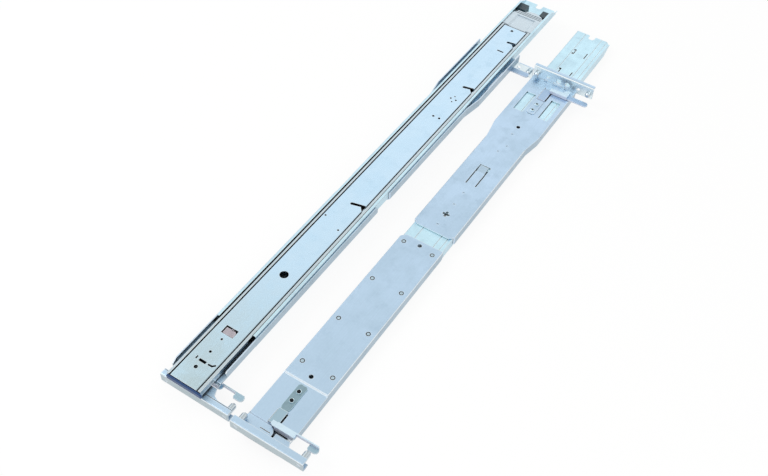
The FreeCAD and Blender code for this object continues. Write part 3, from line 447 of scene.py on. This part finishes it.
def zinc_material(name, base, finish, rough, cloud=0.30, crystal=0.10, bends=0.9, walls=0.8,
                  wall=None, flange=None, bend=None, shade=None, reach=5 * MM, deepest=1.0,
                  raised=None, matt=0.0, front=None):
    """Bright zinc plate on rolled sheet, with painted shade on walls and in gaps, painted
    highlights on bends.

    cloud, crystal, bends and walls say how much of each layer shows, and deepest how much of
    the painted shade in gaps that are narrower than reach. wall, flange, bend and shade stand in
    for the finish's own colours: wall is painted shade, flange is painted shade on faces across
    the rail unless a paler colour paints light there, bend is a painted highlight unless a darker
    colour paints shade, and front is the colour of the painted shade at the rail's front end.
    Faces above the height raised get a painted highlight, edges get wear with a painted highlight,
    and matt dulls the faces across the rail.
    """
    shade = shade or finish.shade
    material, tree, metal = principled(name, Metallic=1.0)
    grain = effect(tree, "RolledGrain")
    marks = effect(tree, "HandlingMarks")
    edge = effect(tree, "WornEdgeHighlight")
    faces = effect(tree, "SheetFaces", Reach=reach)
    place = split(tree, coordinates(tree, "Object"))
    tone = base
    # painted shade that darkens the rail towards its front end
    if front:
        tone = mix_colour(tree, ramp(tree, place["Y"], *FRONT_SHADE_FADE), base, front)
    clouds = ramp(tree, grain["Clouds"], *ZINC_CLOUDS, 0.0, cloud)
    layers = [
        (clouds, shade),
        (ramp(tree, grain["Lines"], *ZINC_LINES, 0.0, LINE_SHARE), shade),
        (portion(tree, grain["Crystals"], crystal), scaled(base, SPARKLE_GAIN)),
        (portion(tree, marks["Smudge"], SMUDGE_SHARE), scaled(shade, SMUDGE_GAIN)),
        # edge wear together with a painted highlight on the edges
        (portion(tree, edge["Edge"], WORN_HIGHLIGHT_SHARE), finish.worn_highlight),
        # painted highlight on bends and steps, painted shade where a dark colour is given
        (portion(tree, faces["Bends"], bends), bend or finish.bend),
        # painted shade on the long side walls
        (portion(tree, faces["Walls"], walls), wall or finish.wall),
        # painted shade on faces across the rail, painted light where a paler colour is given
        (portion(tree, faces["Flanges"], FLANGE_SHARE), flange or finish.flange),
    ]
    # painted highlight on level faces above the raised height
    if raised:
        top = ramp(tree, place["Z"], raised - RAISED_FADE, raised)
        highlighted = calculate(tree, "SUBTRACT", top, faces["Flanges"], clamp=True)
        layers.append((highlighted, finish.raised))
    # painted shade in gaps where ambient occlusion finds little open sky
    layers.append((portion(tree, faces["Gaps"], deepest), finish.crevice_shade))
    for mask, over in layers:
        tone = mix_colour(tree, mask, tone, over)
    if matt:
        shine = calculate(tree, "SUBTRACT", 1.0, portion(tree, faces["Flanges"], matt))
        feed(tree, shine, metal["Metallic"])
    spread = weighted(tree, rough + ZINC_ROUGH["start"],
                      ((grain["Lines"], ZINC_ROUGH["Lines"]), (clouds, ZINC_ROUGH["Clouds"]),
                       (marks["Smudge"], ZINC_ROUGH["Smudge"])))
    height = weighted(tree, 0.0, ((grain["Lines"], ZINC_RELIEF["Lines"]),
                                  (marks["Scratches"], ZINC_RELIEF["Scratches"])))
    surface(tree, metal, tone, spread, height, ZINC_BUMP)
    return material


def steel_material(name, base, rough):
    """Bare turned or rolled steel with brighter edges."""
    material, tree, metal = principled(name, Metallic=1.0)
    grain = effect(tree, "RolledGrain", **STEEL_GRAIN)
    edge = effect(tree, "WornEdgeHighlight", Gain=5.0)
    clouds = ramp(tree, grain["Clouds"], *STEEL_CLOUDS)
    tone = mix_colour(tree, clouds, base, scaled(base, STEEL_CLOUD_GAIN))
    tone = mix_colour(tree, edge["Edge"], tone, scaled(base, *STEEL_EDGE))
    spread = ramp(tree, grain["Lines"], *STEEL_LINES, *(rough + part for part in STEEL_ROUGH))
    surface(tree, metal, tone, spread, grain["Lines"], STEEL_BUMP)
    return material


def plastic_material(name, base, rough, crevice_shade):
    """Moulded plastic with a fine satin texture and painted shade in its slits."""
    material, tree, body = principled(name, Metallic=0.0, IOR=PLASTIC_IOR)
    marks = effect(tree, "HandlingMarks", Scale=140.0)
    clouds = effect(tree, "RolledGrain", Cloud_Scale=900.0)["Clouds"]
    slits = effect(tree, "SheetFaces", Reach=PLASTIC_REACH)["Gaps"]
    tone = mix_colour(tree, portion(tree, marks["Smudge"], PLASTIC_SMUDGE), base,
                      scaled(base, *PLASTIC_HANDLED))
    # painted shade in slits
    tone = mix_colour(tree, portion(tree, slits, PLASTIC_SLITS), tone, crevice_shade)
    spread = ramp(tree, clouds, *PLASTIC_CLOUDS, *(rough + part for part in PLASTIC_ROUGH))
    surface(tree, body, tone, spread, clouds, PLASTIC_BUMP)
    return material


def dress(material, *names):
    """Give CAD nodes of both rails a material."""
    for side in SIDES:
        for name in names:
            slots = NODES[side + name].data.materials
            slots.clear()
            slots.append(material)


# Rivet heads: a profile's band k lies between its points k and k + 1

RIVET_STEPS = 28                        # faces round a rivet
RIVET_SPACING = 2 * MM                  # less than the gap between two rivets
BELOW_FOOT = -1.0                       # cut off at the foot of the plain rivet
# profile bands that get painted shade inside a bore or groove
BORE_BANDS = (5, 7)
GROOVE_BANDS = (1, 2)


def vertices_of(piece):
    """A mesh's vertices as an array of rows."""
    flat = np.empty(3 * len(piece.data.vertices))
    piece.data.vertices.foreach_get("co", flat)
    return flat.reshape(-1, 3)


def runs(points, axis):
    """Groups of points that lie further apart along an axis than the rivet spacing."""
    points = points[np.argsort(points[:, axis])]
    return np.split(points, np.nonzero(np.diff(points[:, axis]) > RIVET_SPACING)[0] + 1)


def revolve(profile, place, way):
    """Solid of revolution: x = r cos a, y = way r sin a, z = way h for profile points (r, h).

    The profile runs from its lower pole to its upper pole, and way is 1 upwards or -1 downwards.
    The result is the points, the quads of each band from below, and the lower and upper fan.
    """
    steps = RIVET_STEPS
    radius, height = profile[1:-1].T
    angle = np.linspace(0.0, 2.0 * math.pi, steps, endpoint=False)
    rings = np.stack([np.outer(radius, np.cos(angle)), way * np.outer(radius, np.sin(angle)),
                      way * np.repeat(height[:, None], steps, axis=1)], axis=-1)
    poles = np.array([(0.0, 0.0, way * profile[0][1]), (0.0, 0.0, way * profile[-1][1])])
    points = np.concatenate([poles, rings.reshape(-1, 3)]) + np.array(place)
    here = np.arange(steps)
    after = (here + 1) % steps
    low = len(poles) + steps * np.arange(len(radius) - 1)[:, None]
    quads = np.stack([low + here, low + after, low + steps + after, low + steps + here], axis=-1)
    first, last = len(poles), len(poles) + steps * (len(radius) - 1)
    fans = np.concatenate([np.stack([0 * here, first + after, first + here], axis=-1),
                           np.stack([last + here, last + after, 0 * here + 1], axis=-1)])
    return points, quads.reshape(-1, 4), fans


def rivet_piece(scene, node, profile, shaded_bands, face, recess_shade):
    """One piece with a revolved rivet at each of a node's rivets, with painted shade inside its
    bore or groove.
    """
    way = 1 if node.startswith("right_") else -1
    top_band = len(profile) - 2
    band = np.repeat([*range(top_band), -1, top_band], RIVET_STEPS)
    # bands inside the bore or groove get painted shade
    dark = (band >= shaded_bands[0]) & (band <= shaded_bands[1])
    rivets = [one for row in runs(vertices_of(NODES[node]), 1) for one in runs(row, 0)]
    points, faces = [], []
    count = 0
    for one in rivets:
        low, high = one.min(axis=0), one.max(axis=0)
        foot = low[2] - high[2]
        closed = np.array([(0.0, foot)] + profile)
        closed[:, 1] = np.maximum(closed[:, 1], foot)
        centre = (low + high) / 2
        spots, quads, fans = revolve(
            closed, (centre[0], centre[1], high[2] if way > 0 else low[2]), way)
        points.append(spots)
        faces += (quads + count).tolist() + (fans + count).tolist()
        count += len(spots)
    mesh = bpy.data.meshes.new(node + "_heads")
    mesh.from_pydata(np.concatenate(points).tolist(), [], faces)
    mesh.materials.append(face)
    mesh.materials.append(recess_shade)
    mesh.polygons.foreach_set("material_index", np.tile(dark, len(rivets)).astype(np.int32))
    piece = put(scene, node + "_heads", mesh)
    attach(piece, NODES[node]["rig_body"])
    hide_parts(node)


def latch_profile(rivets, bore):
    """Shank, head, rolled rim and a bore that narrows downwards."""
    return [(rivets.shank, BELOW_FOOT), (rivets.shank, -rivets.rim), (rivets.head, -rivets.rim),
            (rivets.head, -0.5 * rivets.rim), (0.5 * (rivets.head + bore), 0.0), (bore, -0.1 * MM),
            (0.8 * bore, -0.5 * MM), (0.7 * bore, -1.1 * MM), (0.0, -1.15 * MM)]


def flush_profile(rivets):
    """Countersunk head with a shallow groove round its crown."""
    return [(rivets.flush, BELOW_FOOT), (rivets.flush, -0.35 * MM), (rivets.groove, -0.3 * MM),
            (rivets.groove - 0.1 * MM, -0.05 * MM), (rivets.groove - 0.3 * MM, 0.0), (0.0, 0.0)]


# Stage

FLOOR_LEVEL = -0.4 * MM                 # just clear of the rails' lowest points
FLOOR_GLOW = 0.88                       # share of plain white, seen direct or reflected
DOME_STRENGTH = 1.04
HORIZON_BAND = (0.0, 0.45)              # heights from the horizon colour to white
CROWN_BAND = (0.72, 0.90)               # and from white to the crown colour
LAMPS = (                               # name, place, side and power
    ("key", (-1.5, -0.5, 1.6), 1.0, 9.0),
    ("fill", (0.6, -1.7, 1.0), 0.9, 5.0),
)
CAMERA_PLACE = (0.3811501, -0.7620589, 0.8752297)
CAMERA_TURN = (-0.5336, -0.8462, 0.0591)    # yaw, pitch and roll in radians
SENSOR_WIDTH = 36.0


def make_floor(scene, stage):
    """A flat square under the rails that shows white and keeps the shadow."""
    half = stage.floor_size / 2
    corners = [(-half, -half, FLOOR_LEVEL), (half, -half, FLOOR_LEVEL),
               (half, half, FLOOR_LEVEL), (-half, half, FLOOR_LEVEL)]
    mesh = bpy.data.meshes.new("floor")
    mesh.from_pydata(corners, [], [(0, 1, 2, 3)])
    floor = put(scene, "floor", mesh)
    material, tree = empty_material("floor paper")
    paper = add(tree, "ShaderNodeBsdfDiffuse", Color=(*stage.floor, 1.0))
    glow = add(tree, "ShaderNodeEmission", Color=(*WHITE, 1.0), Strength=1.0)
    path = tree.nodes.new("ShaderNodeLightPath").outputs
    seen = calculate(tree, "MAXIMUM", path["Is Camera Ray"], path["Is Glossy Ray"])
    seen = calculate(tree, "MAXIMUM", seen, path["Is Transmission Ray"])
    add(tree, "ShaderNodeOutputMaterial",
        Surface=mix_shaders(tree, portion(tree, seen, FLOOR_GLOW), paper, glow))
    mesh.materials.append(material)


def make_world(scene, stage):
    """White to the camera; a dome that fades to grey near the horizon for the rest."""
    world = bpy.data.worlds.new("studio")
    scene.world = world
    world.use_nodes = True
    tree = world.node_tree
    tree.nodes.clear()
    height = split(tree, coordinates(tree, "Generated"))["Z"]
    tone = mix_colour(tree, ramp(tree, height, *HORIZON_BAND), stage.horizon, WHITE)
    tone = mix_colour(tree, ramp(tree, height, *CROWN_BAND), tone, stage.crown)
    dome = add(tree, "ShaderNodeBackground", Color=tone, Strength=DOME_STRENGTH)
    white = add(tree, "ShaderNodeBackground", Color=(*WHITE, 1.0), Strength=1.0)
    seen = tree.nodes.new("ShaderNodeLightPath").outputs["Is Camera Ray"]
    add(tree, "ShaderNodeOutputWorld", Surface=mix_shaders(tree, seen, dome, white))


def make_lamps(scene):
    """Two large soft lamps that point at the pair."""
    for name, place, size, power in LAMPS:
        lamp = bpy.data.lights.new(name, "AREA")
        lamp.shape = "SQUARE"
        lamp.size = size
        lamp.energy = power
        holder = put(scene, name, lamp)
        holder.location = place
        holder.rotation_euler = (-Vector(place)).to_track_quat("-Z", "Y").to_euler()


def make_camera(scene, stage):
    """The photograph's viewpoint: turn to the left, look down, slight roll."""
    yaw, pitch, roll = CAMERA_TURN
    ahead = Vector((math.sin(yaw) * math.cos(pitch), math.cos(yaw) * math.cos(pitch),
                    math.sin(pitch)))
    across = Vector((math.cos(yaw), -math.sin(yaw), 0.0))
    above = across.cross(ahead)
    side = math.cos(roll) * across + math.sin(roll) * above
    up = -math.sin(roll) * across + math.cos(roll) * above
    turn = Matrix((side, up, -ahead)).transposed()
    data = bpy.data.cameras.new("camera")
    data.sensor_width = SENSOR_WIDTH
    data.sensor_fit = "HORIZONTAL"
    data.lens = stage.lens / MM
    data.clip_start = 10 * MM
    camera = put(scene, "camera", data)
    camera.matrix_world = Matrix.Translation(CAMERA_PLACE) @ turn.to_4x4()
    scene.camera = camera


# Operators

BRACKET_PLATE = {"cloud": 0.34, "crystal": 0.08}
# painted shade in the brackets' gaps
BRACKET_GAPS = {"reach": 3.5 * MM, "deepest": 0.5}
# the latches' level faces above this height get a painted highlight
RAISED_LEVEL = 18 * MM                  # height of the latches' raised cross pieces


class RAIL_OT_channels(bpy.types.Operator):
    """Zinc finish of the outer and middle channels"""

    bl_idname = "rail.channels"
    bl_label = "Channels"

    def execute(self, context):
        finish = context.scene.rail_finish
        # channels: painted shade in gaps, within 4.5 mm on the outer one and 9 mm on the middle
        # one
        zinc = zinc_material("channel zinc", finish.channel_zinc, finish, finish.channel_rough,
                             bends=0.5, walls=0.4, reach=4.5 * MM)
        dress(zinc, "outer_channel")
        track = zinc_material("track zinc", finish.track_zinc, finish, finish.channel_rough,
                              bends=0.5, walls=0.6, reach=9 * MM)
        dress(track, "middle_channel")
        return {"FINISHED"}


class RAIL_OT_inner_rails(bpy.types.Operator):
    """Zinc finish of the inner rails"""

    bl_idname = "rail.inner_rails"
    bl_label = "Inner rails"

    def execute(self, context):
        finish = context.scene.rail_finish
        # inner rail: painted shade on its side walls, bends and front end, and in gaps within 9 mm
        zinc = zinc_material("inner rail zinc", finish.inner_zinc, finish, finish.inner_rough,
                             cloud=0.22, crystal=0.05, wall=finish.raceway_shade, bend=finish.raceway_shade,
                             shade=finish.inner_shade, front=finish.inner_front_shade, reach=9 * MM)
        dress(zinc, "inner_rail")
        return {"FINISHED"}


class RAIL_OT_brackets(bpy.types.Operator):
    """Zinc finish of the brackets, latch hooks and rear leaf springs"""

    bl_idname = "rail.brackets"
    bl_label = "Brackets"

    def execute(self, context):
        finish = context.scene.rail_finish
        front = zinc_material("bracket zinc", finish.zinc, finish, finish.bracket_rough,
                              **BRACKET_PLATE, **BRACKET_GAPS)
        dress(front, "front_bracket", "rear_latch_spring")
        # rear bracket: painted light on its faces across the rail
        rear = zinc_material("rear bracket zinc", finish.zinc, finish, finish.bracket_rough,
                             flange=finish.rear_flange_lit, **BRACKET_PLATE, **BRACKET_GAPS)
        dress(rear, "rear_bracket")
        for name, base, node in (("front latch zinc", finish.latch_zinc, "front_latch_hook"),
                                 ("rear latch zinc", finish.rear_latch, "rear_latch_hook")):
            # latch hooks: painted light on their front walls, painted highlight on their raised
            # cross pieces
            latch = zinc_material(name, base, finish, finish.latch_rough, walls=0.5,
                                  flange=finish.hook_face_lit, deepest=0.3, raised=RAISED_LEVEL,
                                  matt=0.85, **BRACKET_PLATE)
            dress(latch, node)
        return {"FINISHED"}


class RAIL_OT_rivets(bpy.types.Operator):
    """Semi-tubular latch rivets and flush bracket rivets"""

    bl_idname = "rail.rivets"
    bl_label = "Rivets"

    def execute(self, context):
        scene = context.scene
        rivets = scene.rail_rivets
        # rivet bore: painted shade on the bands inside the bores and grooves
        steels = (steel_material("rivet steel", scene.rail_finish.rivet, rough=0.42),
                  steel_material("rivet bore", scene.rail_finish.crevice_shade, rough=0.55))
        for side in SIDES:
            for name, bore in (("front_latch_rivets", rivets.front_bore),
                               ("rear_latch_rivets", rivets.rear_bore)):
                rivet_piece(scene, side + name, latch_profile(rivets, bore), BORE_BANDS, *steels)
            rivet_piece(scene, side + "front_bracket_rivets", flush_profile(rivets),
                        GROOVE_BANDS, *steels)
        return {"FINISHED"}


class RAIL_OT_fasteners(bpy.types.Operator):
    """Steel of the pins, balls and ball cages"""

    bl_idname = "rail.fasteners"
    bl_label = "Pins and balls"

    def execute(self, context):
        finish = context.scene.rail_finish
        dress(steel_material("pin steel", finish.bright, rough=0.26),
              "front_rack_pins", "rear_rack_pins")
        dress(steel_material("ball steel", finish.ball, rough=0.12),
              "outer_balls", "inner_balls")
        dress(steel_material("cage steel", finish.cage, rough=0.36),
              "outer_ball_cage", "inner_ball_cage")
        return {"FINISHED"}


class RAIL_OT_springs(bpy.types.Operator):
    """Steel of the front leaf springs and lock levers"""

    bl_idname = "rail.springs"
    bl_label = "Springs"

    def execute(self, context):
        finish = context.scene.rail_finish
        dress(steel_material("spring steel", finish.spring, rough=0.38), "front_latch_spring")
        dress(steel_material("copper cast steel", finish.copper, rough=0.34),
              "server_lock_lever")
        return {"FINISHED"}


class RAIL_OT_plastics(bpy.types.Operator):
    """Moulded plastic of the bumpers, rear stops and channel catches"""

    bl_idname = "rail.plastics"
    bl_label = "Plastics"

    def execute(self, context):
        finish = context.scene.rail_finish
        for name, base, rough, node in (("blue plastic", finish.blue, 0.36, "front_bumper"),
                                        ("pale plastic", finish.pale, 0.42, "rear_stop"),
                                        ("dark plastic", finish.dark, 0.38, "channel_catches")):
            dress(plastic_material(name, base, rough, finish.crevice_shade), node)
        return {"FINISHED"}


class RAIL_OT_stage(bpy.types.Operator):
    """Floor, world, lamps and camera"""

    bl_idname = "rail.stage"
    bl_label = "Stage"

    def execute(self, context):
        scene = context.scene
        stage = scene.rail_stage
        scene.view_settings.view_transform = "Standard"
        make_floor(scene, stage)
        make_world(scene, stage)
        make_lamps(scene)
        make_camera(scene, stage)
        return {"FINISHED"}


OPERATORS = (RAIL_OT_channels, RAIL_OT_inner_rails, RAIL_OT_brackets, RAIL_OT_rivets,
             RAIL_OT_fasteners, RAIL_OT_springs, RAIL_OT_plastics, RAIL_OT_stage)


# Panel and registration

class RAIL_PT_panel(bpy.types.Panel):
    """Sidebar panel of the rails"""

    bl_idname = "RAIL_PT_panel"
    bl_label = "Server rails"
    bl_space_type = "VIEW_3D"
    bl_region_type = "UI"
    bl_category = "Rails"

    def draw(self, context):
        scene = context.scene
        for group in (scene.rail_finish, scene.rail_rivets, scene.rail_stage):
            for name in group.__annotations__:
                self.layout.prop(group, name)
        for operator in OPERATORS:
            self.layout.operator(operator.bl_idname)


CLASSES = (RailFinish, RailRivets, RailStage) + OPERATORS + (RAIL_PT_panel,)


def register():
    """Register the classes and settings."""
    for item in CLASSES:
        bpy.utils.register_class(item)
    bpy.types.Scene.rail_finish = bpy.props.PointerProperty(type=RailFinish)
    bpy.types.Scene.rail_rivets = bpy.props.PointerProperty(type=RailRivets)
    bpy.types.Scene.rail_stage = bpy.props.PointerProperty(type=RailStage)


def unregister():
    """Remove the settings and classes."""
    del bpy.types.Scene.rail_finish
    del bpy.types.Scene.rail_rivets
    del bpy.types.Scene.rail_stage
    for item in reversed(CLASSES):
        bpy.utils.unregister_class(item)


def main():
    """Dress the rails and build the stage."""
    register()
    bpy.ops.rail.channels()
    bpy.ops.rail.inner_rails()
    bpy.ops.rail.brackets()
    bpy.ops.rail.rivets()
    bpy.ops.rail.fasteners()
    bpy.ops.rail.springs()
    bpy.ops.rail.plastics()
    bpy.ops.rail.stage()


if __name__ == "__main__":
    main()
